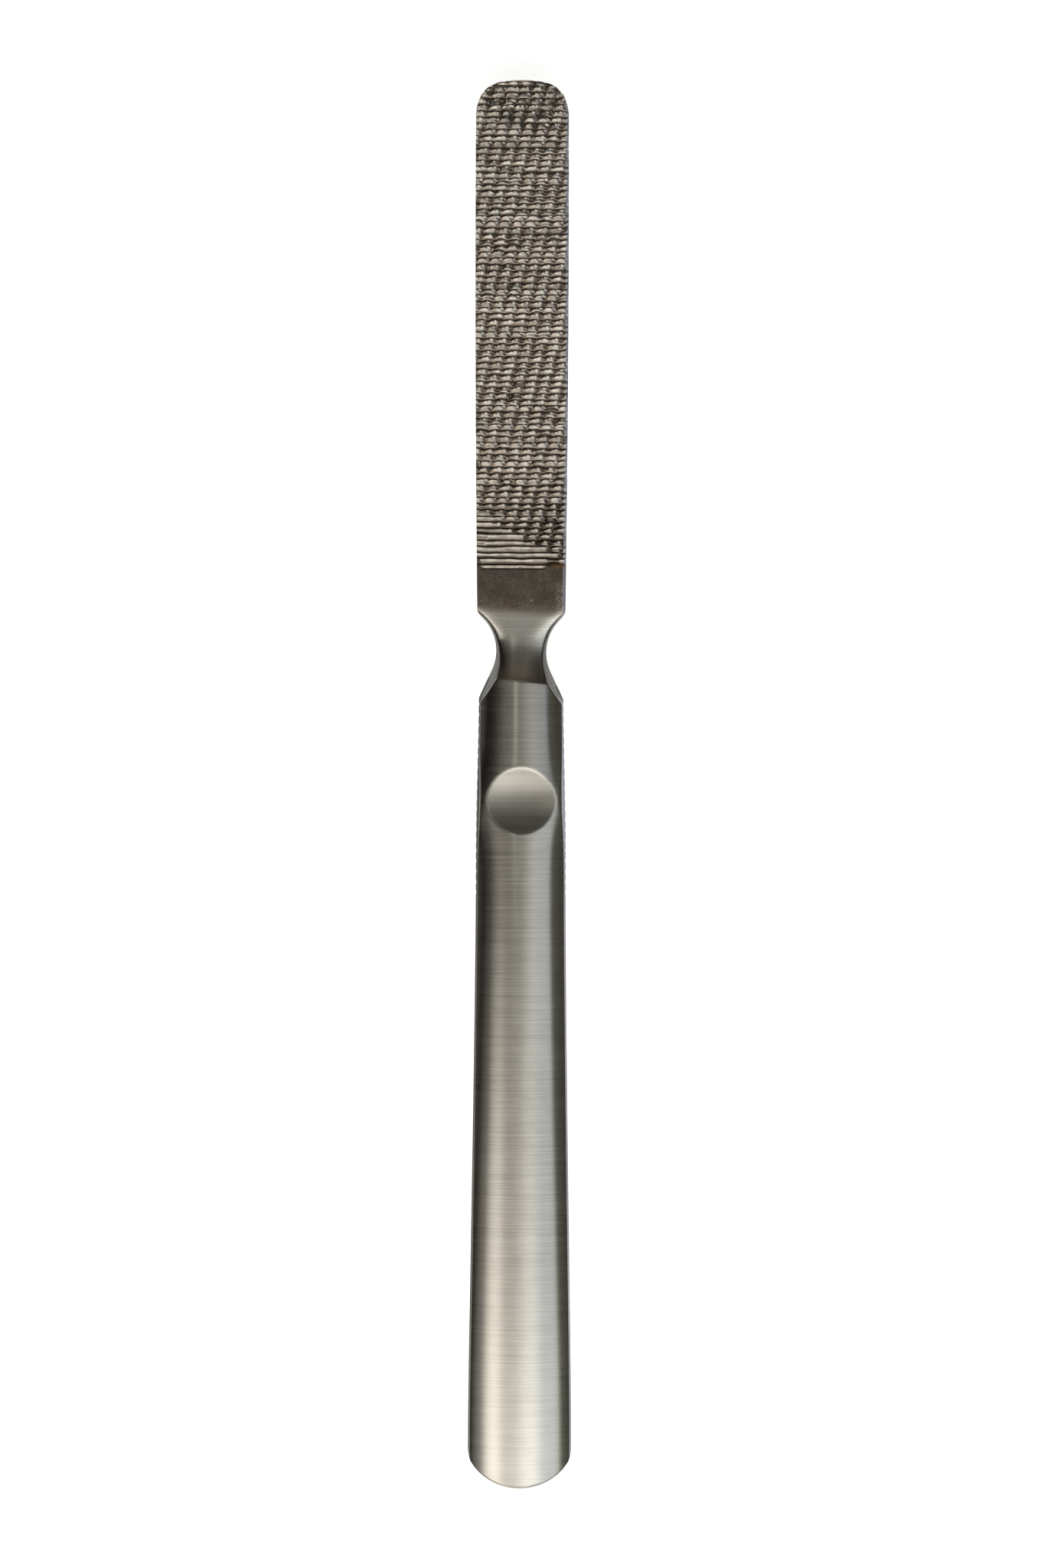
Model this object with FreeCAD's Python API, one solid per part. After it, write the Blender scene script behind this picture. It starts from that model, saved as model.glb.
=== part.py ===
"""A steel foot file: a blade with teeth on both faces, on a hollow handle.

The blade, its ground neck and the plug behind it are one bar of hardened steel. The handle is two
pressed shells, each with a thumb dimple, welded to each other along their seam and brazed to the plug
that fills their mouth.

Millimetres. X runs across the blade, +Y towards the blade's tip and +Z out of the front face. The
origin is at the middle of the length, on the surface that the file lies on.
"""

import FreeCAD, Part
import math
import os

V = FreeCAD.Vector
MIDDLE = V(0, 0, 0)
ACROSS = V(1, 0, 0)
ALONG = V(0, 1, 0)
UP = V(0, 0, 1)

# Overall
overall_length = 200.0
cut_overrun = 2.0

# Blade
blade_thickness = 3.0
blade_tip_half_width = 6.58
blade_root_half_width = 6.26
tip_end_radius = 22.7
tip_corner_radius = 4.5
cut_length = 69.15
ricasso_length = 6.0

# Teeth: rows across the blade, each with a steep face towards the tip and a long sloping back
coarse_pitch = 0.87
coarse_depth = 0.33
fine_pitch = 0.60
fine_depth = 0.23
tooth_face_share = 0.26

# Neck: ground in from the front and back faces and, on a slant, from the sides
waist_below_ricasso = 5.75
waist_half_width = 3.56
waist_radius = 6.4
flare_angle_deg = 25.0
side_slant_deg = 31.0
neck_floor_below_ricasso = 4.4
neck_sink = 0.3
neck_rise_radius = 11.5

# Handle: a flat oval section of one thickness, wider towards the butt
handle_half_thickness = 2.8
side_round_share = 0.65
shoulder_half_width = 6.02
dimple_half_width = 6.33
grip_half_width = 6.38
butt_half_width = 7.36
grip_below_shoulder = 28.2
butt_station_above_end = 7.5
butt_corner_rise = 6.0
butt_corner_radius = 3.0
butt_side_room = 0.3
butt_edge_radius = 1.1
shell_wall = 1.0

# Thumb dimples, bowed less across than along, so that the rim looks round from the front
dimple_below_shoulder = 14.6
dimple_depth = 1.4
dimple_radius_along = 9.1
dimple_radius_across = 33.0

# Seam weld in the rebate between the shells
weld_half_height = 0.4
weld_depth = 0.6

# Grip notches down both side edges
notch_count = 19
notch_pitch = 1.486
notch_first_below_shoulder = 0.9
notch_half_width = 0.24
notch_depth = 0.2
notch_reach_share = 2.0

# Plug inside the handle's mouth
plug_below_shoulder = 7.0
braze_gap = 0.15

# Places along Y, from the tip down
tip_y = overall_length / 2
butt_y = -overall_length / 2
cut_end_y = tip_y - cut_length
ricasso_end_y = cut_end_y - ricasso_length
waist_y = ricasso_end_y - waist_below_ricasso
neck_floor_y = ricasso_end_y - neck_floor_below_ricasso

# Where the waist's round turns into its straight flare, and where the flare reaches the shoulder
flare_angle = math.radians(flare_angle_deg)
flare_start_x = waist_half_width + waist_radius * (1 - math.cos(flare_angle))
flare_start_y = waist_y - waist_radius * math.sin(flare_angle)
shoulder_y = flare_start_y - (shoulder_half_width - flare_start_x) / math.tan(flare_angle)

# Where the ground hollow of the neck comes up to the handle's face, which is the shells' mouth
blade_half_thickness = blade_thickness / 2
neck_half_thickness = blade_half_thickness - neck_sink
neck_rise = handle_half_thickness - neck_half_thickness
mouth_y = neck_floor_y - math.sqrt(neck_rise * (2 * neck_rise_radius - neck_rise))

# Places in the handle
dimple_y = shoulder_y - dimple_below_shoulder
grip_y = shoulder_y - grip_below_shoulder
butt_station_y = butt_y + butt_station_above_end
plug_y = shoulder_y - plug_below_shoulder

# The handle's half width at places from the mouth to past the butt
HANDLE_STATIONS = [
    (mouth_y, shoulder_half_width),
    (shoulder_y, shoulder_half_width),
    (dimple_y, dimple_half_width),
    (grip_y, grip_half_width),
    ((grip_y + butt_station_y) / 2, (grip_half_width + butt_half_width) / 2),
    (butt_station_y, butt_half_width),
    (butt_y - cut_overrun, butt_half_width),
]

# Cutters reach this far from the axis, sideways and up or down
far_x = butt_half_width + cut_overrun
far_z = handle_half_thickness + cut_overrun


def line(start, end):
    """A straight edge."""
    return Part.LineSegment(start, end).toShape()


def arc(start, through, end):
    """A round edge."""
    return Part.Arc(start, through, end).toShape()


def closed_face(edges):
    """A flat face inside a ring of edges."""
    return Part.Face(Part.Wire(edges))


def polygon_face(corners):
    """A flat face with straight sides."""
    return Part.Face(Part.makePolygon(corners + corners[:1]))


def plan_point(centre_x, centre_y, radius, angle):
    """A point of the plan, at an angle from +X about a centre."""
    return V(centre_x + radius * math.cos(angle), centre_y + radius * math.sin(angle), 0)


def opposite(point):
    """The same point on the other side of the axis."""
    return V(-point.x, point.y, point.z)


def upright(face, half_height):
    """A prism that stands on both sides of the middle plane."""
    prism = face.extrude(V(0, 0, 2 * half_height))
    prism.translate(V(0, 0, -half_height))
    return prism


def span_box(half_width, low_y, high_y, low_z, high_z):
    """A box about the axis, from one place along it to another."""
    corner = V(-half_width, low_y, low_z)
    return Part.makeBox(2 * half_width, high_y - low_y, high_z - low_z, corner)


def rounded_end(corner_x, corner_y, corner_radius, end_y, end_centre_y):
    """The edges of a softly rounded end, from right to left: an arc between two corner arcs."""
    lean = math.atan2(corner_y - end_centre_y, corner_x)
    side = plan_point(corner_x, corner_y, corner_radius, 0)
    through = plan_point(corner_x, corner_y, corner_radius, lean / 2)
    join = plan_point(corner_x, corner_y, corner_radius, lean)
    return [
        arc(side, through, join),
        arc(join, V(0, end_y, 0), opposite(join)),
        arc(opposite(join), opposite(through), opposite(side)),
    ]


def outline_face(end_edges, right_corner):
    """A plan closed by straight sides, from a rounded end to two square corners."""
    right_side = end_edges[0].firstVertex(True).Point
    left_side = opposite(right_side)
    left_corner = opposite(right_corner)
    return closed_face(end_edges + [
        line(left_side, left_corner),
        line(left_corner, right_corner),
        line(right_corner, right_side),
    ])


def oval(y, half_width, half_thickness):
    """The handle's section: two crowned faces that run into two tight round sides."""
    side_radius = side_round_share * half_thickness
    side_x = half_width - side_radius
    crown_gain = 2 * (half_thickness - side_radius)
    crown_radius = (side_x ** 2 + half_thickness ** 2 - side_radius ** 2) / crown_gain
    reach = side_radius / (crown_radius - side_radius)
    join_x = side_x * (1 + reach)
    join_z = (crown_radius - half_thickness) * reach
    top = V(0, y, half_thickness)
    bottom = V(0, y, -half_thickness)
    right = V(half_width, y, 0)
    upper_right = V(join_x, y, join_z)
    lower_right = V(join_x, y, -join_z)
    return Part.Wire([
        arc(opposite(upper_right), top, upper_right),
        arc(upper_right, right, lower_right),
        arc(lower_right, bottom, opposite(lower_right)),
        arc(opposite(lower_right), opposite(right), opposite(upper_right)),
    ])


def butt_outline(inset):
    """The plan that rounds off the butt, drawn in by an inset."""
    corner_x = butt_half_width + butt_side_room - butt_corner_radius
    gain = 2 * (butt_corner_rise - butt_corner_radius)
    end_radius = (corner_x ** 2 + butt_corner_rise ** 2 - butt_corner_radius ** 2) / gain
    corner_y = butt_y + butt_corner_rise
    corner_radius = butt_corner_radius - inset
    end_edges = rounded_end(corner_x, corner_y, corner_radius, butt_y + inset, butt_y + end_radius)
    return outline_face(end_edges, V(corner_x + corner_radius, mouth_y + cut_overrun, 0))


def handle_bar(inset):
    """The handle as a solid bar, drawn in all round by an inset, from the butt to the mouth."""
    half_thickness = handle_half_thickness - inset
    sections = [oval(y, half_width - inset, half_thickness) for y, half_width in HANDLE_STATIONS]
    bar = Part.makeLoft(sections, True, False)
    return bar.common(upright(butt_outline(inset), far_z))


def round_butt(bar):
    """Rounds the edge all round the butt's end wall."""
    rim = [
        edge for edge in bar.Edges
        if edge.BoundBox.YMax < butt_station_y and edge.BoundBox.XLength > butt_corner_radius
    ]
    return bar.makeFillet(butt_edge_radius, rim)


def side_scoop():
    """The slanted grinding cut beside the neck, on the right of the front face."""
    centre_x = waist_half_width + waist_radius
    top_angle = math.acos((centre_x - far_x) / waist_radius)
    waist = V(waist_half_width, waist_y, 0)
    top = plan_point(centre_x, waist_y, waist_radius, math.pi - top_angle)
    upper = plan_point(centre_x, waist_y, waist_radius, math.pi - top_angle / 2)
    lower = plan_point(centre_x, waist_y, waist_radius, math.pi + flare_angle / 2)
    flare_start = V(flare_start_x, flare_start_y, 0)
    flare_end = V(far_x, flare_start_y - (far_x - flare_start_x) / math.tan(flare_angle), 0)
    face = closed_face([
        arc(top, upper, waist),
        arc(waist, lower, flare_start),
        line(flare_start, flare_end),
        line(flare_end, top),
    ])
    return face.extrude(V(-far_z * math.tan(math.radians(side_slant_deg)), 0, far_z))


def face_scoop():
    """The grinding cut across the front of the neck: a shallow run, then a long rise."""
    run = ricasso_end_y - neck_floor_y
    run_radius = (run ** 2 + neck_sink ** 2) / (2 * neck_sink)
    half_run = math.asin(run / run_radius) / 2
    half_rise = math.acos((neck_rise_radius - neck_rise) / neck_rise_radius) / 2
    start = V(-far_x, ricasso_end_y, blade_half_thickness)
    run_through = V(
        -far_x,
        neck_floor_y + run_radius * math.sin(half_run),
        neck_half_thickness + run_radius * (1 - math.cos(half_run)),
    )
    floor = V(-far_x, neck_floor_y, neck_half_thickness)
    rise_through = V(
        -far_x,
        neck_floor_y - neck_rise_radius * math.sin(half_rise),
        neck_half_thickness + neck_rise_radius * (1 - math.cos(half_rise)),
    )
    end = V(-far_x, mouth_y, handle_half_thickness)
    above_end = V(-far_x, mouth_y, far_z)
    above_start = V(-far_x, ricasso_end_y, far_z)
    face = closed_face([
        arc(start, run_through, floor),
        arc(floor, rise_through, end),
        line(end, above_end),
        line(above_end, above_start),
        line(above_start, start),
    ])
    return face.extrude(V(2 * far_x, 0, 0))


def with_mirror(shapes, plane_normal):
    """The shapes and their mirror images in a plane through the middle."""
    return shapes + [shape.mirror(MIDDLE, plane_normal) for shape in shapes]


def neck_cutters():
    """All the grinding cuts that shape the neck."""
    front = with_mirror([side_scoop()], ACROSS) + [face_scoop()]
    return with_mirror(front, UP)


def dimple_cutters(grow):
    """The dished thumb rests of both faces, grown by the shells' wall for the inside."""
    radius = dimple_radius_along + grow
    bottom_z = handle_half_thickness - dimple_depth - grow
    half_chord = math.sqrt(radius ** 2 - (bottom_z + radius - far_z) ** 2)
    upper_rim = V(0, dimple_y + half_chord, far_z)
    lower_rim = V(0, dimple_y - half_chord, far_z)
    cap = closed_face([
        arc(upper_rim, V(0, dimple_y, bottom_z), lower_rim),
        line(lower_rim, upper_rim),
    ])
    hub = V(0, dimple_y, handle_half_thickness - dimple_depth + dimple_radius_across)
    swing_deg = math.degrees(math.atan(far_x / dimple_radius_across))
    cap.rotate(hub, ALONG, -swing_deg)
    return with_mirror([cap.revolve(hub, ALONG, 2 * swing_deg)], UP)


def handle_half_width(y):
    """The handle's half width at a place along it, between its stations."""
    for (above_y, above_width), (below_y, below_width) in zip(HANDLE_STATIONS, HANDLE_STATIONS[1:]):
        if below_y <= y <= above_y:
            step_share = (above_y - y) / (above_y - below_y)
            return above_width + step_share * (below_width - above_width)
    raise ValueError("a notch lies off the handle")


def notch_cutters():
    """The row of fine V notches down both side edges of the grip."""
    reach = notch_reach_share * notch_depth
    spread = notch_reach_share * notch_half_width
    notches = []
    for number in range(notch_count):
        y = shoulder_y - notch_first_below_shoulder - number * notch_pitch
        root_x = handle_half_width(y) - notch_depth
        corners = [
            V(root_x, y, 0),
            V(root_x + reach, y - spread, 0),
            V(root_x + reach, y + spread, 0),
        ]
        notches.append(upright(polygon_face(corners), far_z))
    return with_mirror(notches, ACROSS)


def blade_outline():
    """The blade's plan: straight sides that narrow to the root, and a softly rounded tip."""
    corner_x = blade_tip_half_width - tip_corner_radius
    end_centre_y = tip_y - tip_end_radius
    corner_y = end_centre_y + math.sqrt((tip_end_radius - tip_corner_radius) ** 2 - corner_x ** 2)
    end_edges = rounded_end(corner_x, corner_y, tip_corner_radius, tip_y, end_centre_y)
    return outline_face(end_edges, V(blade_root_half_width, ricasso_end_y, 0))


def tooth_rows(pitch, depth, face_side):
    """The zigzag of one cut face, from the ricasso to past the tip."""
    x = -far_x
    crest_z = face_side * blade_half_thickness
    root_z = face_side * (blade_half_thickness - depth)
    row_count = int(cut_length / pitch)
    points = [V(x, ricasso_end_y, crest_z)]
    for row in range(row_count):
        crest_y = cut_end_y + row * pitch
        points.append(V(x, crest_y, crest_z))
        points.append(V(x, crest_y + tooth_face_share * pitch, root_z))
    points.append(V(x, cut_end_y + row_count * pitch, crest_z))
    points.append(V(x, tip_y + cut_overrun, crest_z))
    return points


def toothed_plate():
    """The flat of the blade, with the coarse rows in front and the fine rows behind."""
    front = tooth_rows(coarse_pitch, coarse_depth, 1)
    back = tooth_rows(fine_pitch, fine_depth, -1)
    slab = polygon_face(front + back[::-1]).extrude(V(2 * far_x, 0, 0))
    return slab.common(upright(blade_outline(), far_z))


def neck():
    """The waisted steel between the ricasso and the handle's mouth."""
    mouth = Part.Face(oval(mouth_y, shoulder_half_width, handle_half_thickness))
    lower = mouth.extrude(V(0, waist_y - mouth_y, 0))
    half_width, half_thickness = blade_root_half_width, blade_half_thickness
    upper = span_box(half_width, waist_y, ricasso_end_y, -half_thickness, half_thickness)
    return lower.fuse(upper).cut(neck_cutters())


def mouth_span(solid):
    """The stretch of a solid that lies in the handle's mouth, ground down with the neck."""
    stretch = solid.common(span_box(far_x, plug_y, mouth_y, -far_z, far_z))
    return stretch.cut(neck_cutters())


def file_blade():
    """Blade, neck and plug, in one piece."""
    plug = mouth_span(handle_bar(shell_wall + braze_gap))
    return toothed_plate().fuse([neck(), plug]).removeSplitter()


def mouth_braze():
    """The sleeve of braze between the plug and the shells."""
    return mouth_span(handle_bar(shell_wall).cut(handle_bar(shell_wall + braze_gap)))


def handle_pieces():
    """The two half shells and the weld that joins them."""
    low_y = butt_y - cut_overrun
    surface_cutters = neck_cutters() + dimple_cutters(0) + notch_cutters()
    outside = round_butt(handle_bar(0)).cut(surface_cutters)
    cavity = handle_bar(shell_wall).cut(dimple_cutters(shell_wall))
    seam_slab = span_box(far_x, low_y, mouth_y, -weld_half_height, weld_half_height)
    rebate = seam_slab.cut(handle_bar(weld_depth))
    shells = outside.cut([cavity, rebate])
    front = shells.common(span_box(far_x, low_y, mouth_y, 0, far_z))
    back = shells.common(span_box(far_x, low_y, mouth_y, -far_z, 0))
    return front, back, outside.common(rebate)


def main():
    front, back, weld = handle_pieces()
    pieces = {
        "file_blade": file_blade(),
        "handle_front_shell": front,
        "handle_back_shell": back,
        "seam_weld": weld,
        "mouth_braze": mouth_braze(),
    }
    os.makedirs("parts", exist_ok=True)
    for name, shape in pieces.items():
        shape.translate(V(0, 0, handle_half_thickness))
        shape.exportStep(f"parts/{name}.step")
        box = shape.optimalBoundingBox()
        print(f"{name}: {len(shape.Solids)} solid, volume {shape.Volume:.1f}, valid {shape.isValid()}, "
              f"Y {box.YMin:.2f} to {box.YMax:.2f}, Z {box.ZMin:.2f} to {box.ZMax:.2f}")


if __name__ == "__main__":
    main()
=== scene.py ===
# %% [markdown]
# A steel foot file, dressed for its picture. The packed CAD model is the fixed frame: a toothed blade
# with its neck, two handle shells, the weld between them and the braze at the mouth. Its solids are
# true in size but plain, so each one is replaced here by a finer mesh in the same place, and gets a
# steel finish made from nodes. All shapes are worked out in millimetres, with heights measured from
# the middle plane of the file, and turned into metres when a mesh is made.

# %% Load the frame
import math

import bpy
import numpy as np
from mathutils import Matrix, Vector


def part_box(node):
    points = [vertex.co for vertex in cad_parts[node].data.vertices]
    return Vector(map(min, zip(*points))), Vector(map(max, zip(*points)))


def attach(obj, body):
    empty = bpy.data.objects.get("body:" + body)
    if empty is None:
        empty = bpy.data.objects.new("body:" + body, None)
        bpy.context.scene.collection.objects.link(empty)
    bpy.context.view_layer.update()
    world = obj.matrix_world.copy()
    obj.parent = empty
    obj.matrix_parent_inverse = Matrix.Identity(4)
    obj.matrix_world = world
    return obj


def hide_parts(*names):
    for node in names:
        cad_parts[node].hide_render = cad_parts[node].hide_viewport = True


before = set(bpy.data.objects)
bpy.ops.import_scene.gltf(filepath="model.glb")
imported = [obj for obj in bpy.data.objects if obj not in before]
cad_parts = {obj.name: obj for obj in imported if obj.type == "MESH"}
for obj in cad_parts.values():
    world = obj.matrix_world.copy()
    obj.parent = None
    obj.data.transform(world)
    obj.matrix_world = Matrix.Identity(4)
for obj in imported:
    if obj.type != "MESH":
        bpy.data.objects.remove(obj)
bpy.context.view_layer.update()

MM = 0.001


def box_mm(node):
    """The lowest and highest corner of a CAD node, in millimetres."""
    return [np.array(corner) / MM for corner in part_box(node)]


blade_high = box_mm("file_blade")[1]
shell_low, shell_high = box_mm("handle_front_shell")
tip_y = blade_high[1]
mouth_y = shell_high[1]
butt_y = shell_low[1]
middle_z = shell_low[2]
handle_half_thickness = shell_high[2] - middle_z
print(f"tip {tip_y:.2f}, mouth {mouth_y:.2f}, butt {butt_y:.2f}, middle plane {middle_z:.2f} mm up")

# %% [markdown]
# Steel that is ground and filed has no perfectly sharp edge, so two heights that meet are blended over
# a small width. A modifier could bevel the edges later, but a blend in the height itself gives each
# edge its own softness and keeps the mesh a plain grid.

# %% Helpers for heights and curves
def smooth(share):
    """Eases a share of the way, so that it starts and ends level."""
    return share * share * (3 - 2 * share)


def ramp(low, high, value):
    """Rises smoothly from 0 to 1 between two places."""
    return smooth(np.clip((value - low) / (high - low), 0, 1))


def between(first, second, share):
    """The value a share of the way from the first to the second."""
    return first + (second - first) * share


def lower_of(first, second, width):
    """The lower of two heights, rounded over a width where they cross."""
    near = np.clip(1 - np.abs(first - second) / width, 0, 1)
    return np.minimum(first, second) - width * near * near / 4


def curve_through(points, place):
    """A smooth curve through (place, value) points, level beyond its ends."""
    places, values = np.array(sorted(points)).T
    slopes = np.gradient(values, places)
    index = np.clip(np.searchsorted(places, place) - 1, 0, len(places) - 2)
    span = places[index + 1] - places[index]
    share = np.clip((place - places[index]) / span, 0, 1)
    bend = slopes[index] * share * (1 - share) ** 2 - slopes[index + 1] * share ** 2 * (1 - share)
    return values[index] + smooth(share) * (values[index + 1] - values[index]) + span * bend


def circle_run(offset, radius):
    """How far a circle reaches at an offset from its centre, or 0 beyond it."""
    return np.sqrt(np.clip(radius ** 2 - offset ** 2, 0, None))


print(f"a 1 mm blend takes {-lower_of(0.0, 0.0, 1.0):.2f} mm off an edge")

# %% [markdown]
# A mesh that is a grid of points is quick to make and easy to check. One function skins a stack of
# closed rings, for the blade, the weld and the braze. The other gives a sheet its wall: a fine outer
# grid, a coarse inner one, and strips that close the border, so each piece is one watertight body.

# %% Faces over grids of points
def grid_faces(rows, columns, start=0, wrap=False, flip=False):
    """The quads between neighbouring points of a grid that is stored row by row."""
    faces = []
    for row in range(rows - 1):
        for column in range(columns if wrap else columns - 1):
            after = (column + 1) % columns
            quad = [row * columns + column, row * columns + after,
                    (row + 1) * columns + after, (row + 1) * columns + column]
            faces.append([start + corner for corner in (quad[::-1] if flip else quad)])
    return faces


def skin_rings(rings, closed=False, flip=False):
    """Points and faces of a body skinned over closed rings, with ends capped or joined."""
    count, columns = rings.shape[:2]
    if closed:
        rings = np.concatenate([rings, rings[:1]])
    faces = grid_faces(len(rings), columns, wrap=True, flip=flip)
    if closed:
        faces = [[corner % (count * columns) for corner in face] for face in faces]
        return rings[:count].reshape(-1, 3), faces
    first = list(range(columns))
    last = list(range((count - 1) * columns, count * columns))
    caps = [first, last[::-1]] if flip else [first[::-1], last]
    return rings.reshape(-1, 3), faces + caps


def walled_sheet(outer, inner, flip=False):
    """Points and faces of a sheet with a wall and a closed border."""
    rows, columns = outer.shape[:2]
    inner_columns = inner.shape[1]
    start = rows * columns
    faces = grid_faces(rows, columns, flip=flip)
    faces += grid_faces(rows, inner_columns, start, flip=not flip)
    for row in range(rows - 1):
        for column, inner_column, turn in ((0, 0, True), (columns - 1, inner_columns - 1, False)):
            outside = row * columns + column
            inside = start + row * inner_columns + inner_column
            quad = [outside, outside + columns, inside + inner_columns, inside]
            faces.append(quad[::-1] if turn == flip else quad)
    for row, turn in ((0, False), (rows - 1, True)):
        outside = [row * columns + column for column in range(columns)]
        inside = [start + row * inner_columns + column for column in range(inner_columns)]
        border = outside + inside[::-1]
        faces.append(border if turn == flip else border[::-1])
    return np.concatenate([outer.reshape(-1, 3), inner.reshape(-1, 3)]), faces


print(f"a grid of 3 by 4 points has {len(grid_faces(3, 4))} faces")

# %% [markdown]
# Every piece is dressed in the same way: its mesh takes the place of one CAD node and rides with the
# body. Belt grinding leaves lines across the file. A tangent map could tell the shader which way they
# run. Here the mesh's texture space is set far to one side, which points them all across.

# %% Dress a CAD node
sharp_angle = math.radians(40)
BRUSHING_FROM = (-10, 0, 0)


def make_piece(name, points, faces, material, node):
    """A smooth mesh that stands for a CAD node and rides with it."""
    mesh = bpy.data.meshes.new(name)
    shifted = (np.asarray(points) + np.array([0, 0, middle_z])) * MM
    mesh.from_pydata(shifted.tolist(), [], faces)
    mesh.validate()
    mesh.shade_smooth()
    mesh.set_sharp_from_angle(angle=sharp_angle)
    mesh.use_auto_texspace = False
    mesh.texspace_location = BRUSHING_FROM
    mesh.texspace_size = (1, 1, 1)
    mesh.materials.append(material)
    piece = bpy.data.objects.new(name, mesh)
    bpy.context.scene.collection.objects.link(piece)
    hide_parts(node)
    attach(piece, "root")
    print(f"{name}: {len(mesh.vertices)} points, {len(mesh.polygons)} faces")


print(f"edges over {math.degrees(sharp_angle):.0f} degrees stay sharp")

# %% [markdown]
# The plan of the file, as half widths along its length. The blade has a slight belly and a softly
# rounded tip. Below the ricasso, a grinding wheel has cut the waist in from both sides, a little lower
# on the right, and the flare under it runs out at the shoulder. The handle widens slowly to a butt
# that is one round arc. A drawn curve could give the same plan, but formulas can be asked at any place.

# %% Outline of the blade
ricasso_end_y = 24.85
belly_y = 80.0
belly_half_width = 6.62
root_half_width = 6.26
side_fall = (belly_half_width - root_half_width) / (belly_y - ricasso_end_y) ** 2
tip_corner_x = 2.35
tip_corner_radius = 4.2
tip_end_radius = 15.5
tip_end_centre_y = tip_y - tip_end_radius
tip_corner_y = tip_end_centre_y + math.sqrt((tip_end_radius - tip_corner_radius) ** 2 - tip_corner_x ** 2)
tip_turn_y = tip_corner_y + tip_corner_radius * math.sin(math.pi / 4)


def blade_half_width(y):
    """Half the width of the blade, with the corner of the tip."""
    side = belly_half_width - side_fall * (y - belly_y) ** 2
    corner = tip_corner_x + circle_run(y - tip_corner_y, tip_corner_radius)
    return np.where(y > tip_corner_y, np.minimum(side, corner), side)


def tip_end_y(x):
    """Where the end of the tip lies, at a distance from the axis."""
    end = tip_end_centre_y + circle_run(x, tip_end_radius)
    corner = tip_corner_y + circle_run(np.abs(x) - tip_corner_x, tip_corner_radius)
    return np.where(np.abs(x) > tip_corner_x, np.minimum(end, corner), end)


print(f"blade {2 * blade_half_width(belly_y):.2f} mm wide, turning to the tip at {tip_turn_y:.2f} mm")

# %% Outline of the waist and the handle
waist_y = 19.1
waist_half_width = 3.56
waist_radius = 6.4
waist_shift = 0.27
flare_angle = math.radians(25)
flare_start_x = waist_half_width + waist_radius * (1 - math.cos(flare_angle))
flare_start_y = waist_y - waist_radius * math.sin(flare_angle)
shoulder_y = 12.41
HANDLE_HALF_WIDTHS = [
    (mouth_y, 6.02), (shoulder_y, 6.02), (5.0, 6.14), (-2.2, 6.32), (-20.0, 6.42),
    (-42.0, 6.66), (-68.0, 7.04), (-90.0, 7.34), (butt_y, 7.37),
]
butt_end_radius = 8.12
butt_centre_y = butt_y + butt_end_radius
butt_turn_length = 4.0
butt_turn_y = butt_y + butt_turn_length


def waist_half_width_at(x, y):
    """Half the width that the grinding of the waist leaves, lower on the right."""
    y = y + np.where(x > 0, waist_shift, 0)
    round_part = waist_half_width + waist_radius - circle_run(y - waist_y, waist_radius)
    flare = flare_start_x + (flare_start_y - y) * math.tan(flare_angle)
    return np.where(y < flare_start_y, flare, round_part)


def handle_half_width(y):
    """Half the width of the handle, before the waist and the butt are cut."""
    return curve_through(HANDLE_HALF_WIDTHS, y)


def butt_half_width(y):
    """Half the width that the round of the butt leaves."""
    return np.where(y < butt_centre_y, circle_run(y - butt_centre_y, butt_end_radius), butt_end_radius)


print(f"waist {2 * waist_half_width:.2f} mm wide, shoulder {2 * handle_half_width(shoulder_y):.2f} mm")

# %% [markdown]
# The handle's section is a crowned oval with tight sides. Round the thumb dimple the pressing has
# drawn the crown flatter, which bends the reflections outwards there. A swept profile could give one
# section only, so the section is a height that changes along the handle.

# %% Section of the handle
dimple_y = -2.19
flat_reach = 5.6
side_round_share = 0.30
dimple_round_share = 0.62


def side_radius(y):
    """The radius of the handle's sides, larger beside the dimple."""
    bump = np.exp(-((y - dimple_y) / flat_reach) ** 2)
    return between(side_round_share, dimple_round_share, bump) * handle_half_thickness


def oval_height(x, half_width, radius):
    """The crowned face of the handle's section, running into a tight round side."""
    thick = handle_half_thickness
    side_x = half_width - radius
    crown_radius = (side_x ** 2 + thick ** 2 - radius ** 2) / (2 * (thick - radius))
    join_x = side_x * crown_radius / (crown_radius - radius)
    crown = circle_run(x, crown_radius) - (crown_radius - thick)
    side = circle_run(np.abs(x) - side_x, radius)
    return np.where(np.abs(x) < join_x, crown, side)


print(f"sides {side_radius(butt_y):.2f} mm round, {side_radius(dimple_y):.2f} mm beside the dimple")

# %% [markdown]
# The neck is ground from the sides on a slant, and from the front by a scoop that rises to the crown
# of the handle. Hand grinding leaves the scoop's ends a little aslant, its section oval and its edges
# soft. Boolean cuts could make it, but as one height over the plan the neck and the shells meet
# without a step.

# %% Flanks of the neck
slant_run_low = math.tan(math.radians(30))
slant_run_high = math.tan(math.radians(13))
SLANT_CHANGE = (17.0, 23.0)
neck_floor_y = ricasso_end_y - 4.4
flank_round = 0.5
shoulder_round = 0.4
FLANK_ROUND_START = (shoulder_y, shoulder_y + 2)
FLANK_ROUND_END = (ricasso_end_y, neck_floor_y + 1)


def slant_run(y):
    """How far the flanks lean out for a millimetre of height: steeper above the waist."""
    return between(slant_run_low, slant_run_high, ramp(*SLANT_CHANGE, y))


def flank_height(x, y):
    """The slanted flank that the side grinding leaves."""
    return (waist_half_width_at(x, y) - np.abs(x)) / slant_run(y)


def flank_rounding(y):
    """How widely the flank's upper edge is rounded: most at the neck, less at its two ends."""
    return between(shoulder_round, flank_round, ramp(*FLANK_ROUND_START, y) * ramp(*FLANK_ROUND_END, y))


print(f"flanks lean out {slant_run(shoulder_y):.2f} mm a millimetre at the shoulder")

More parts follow.
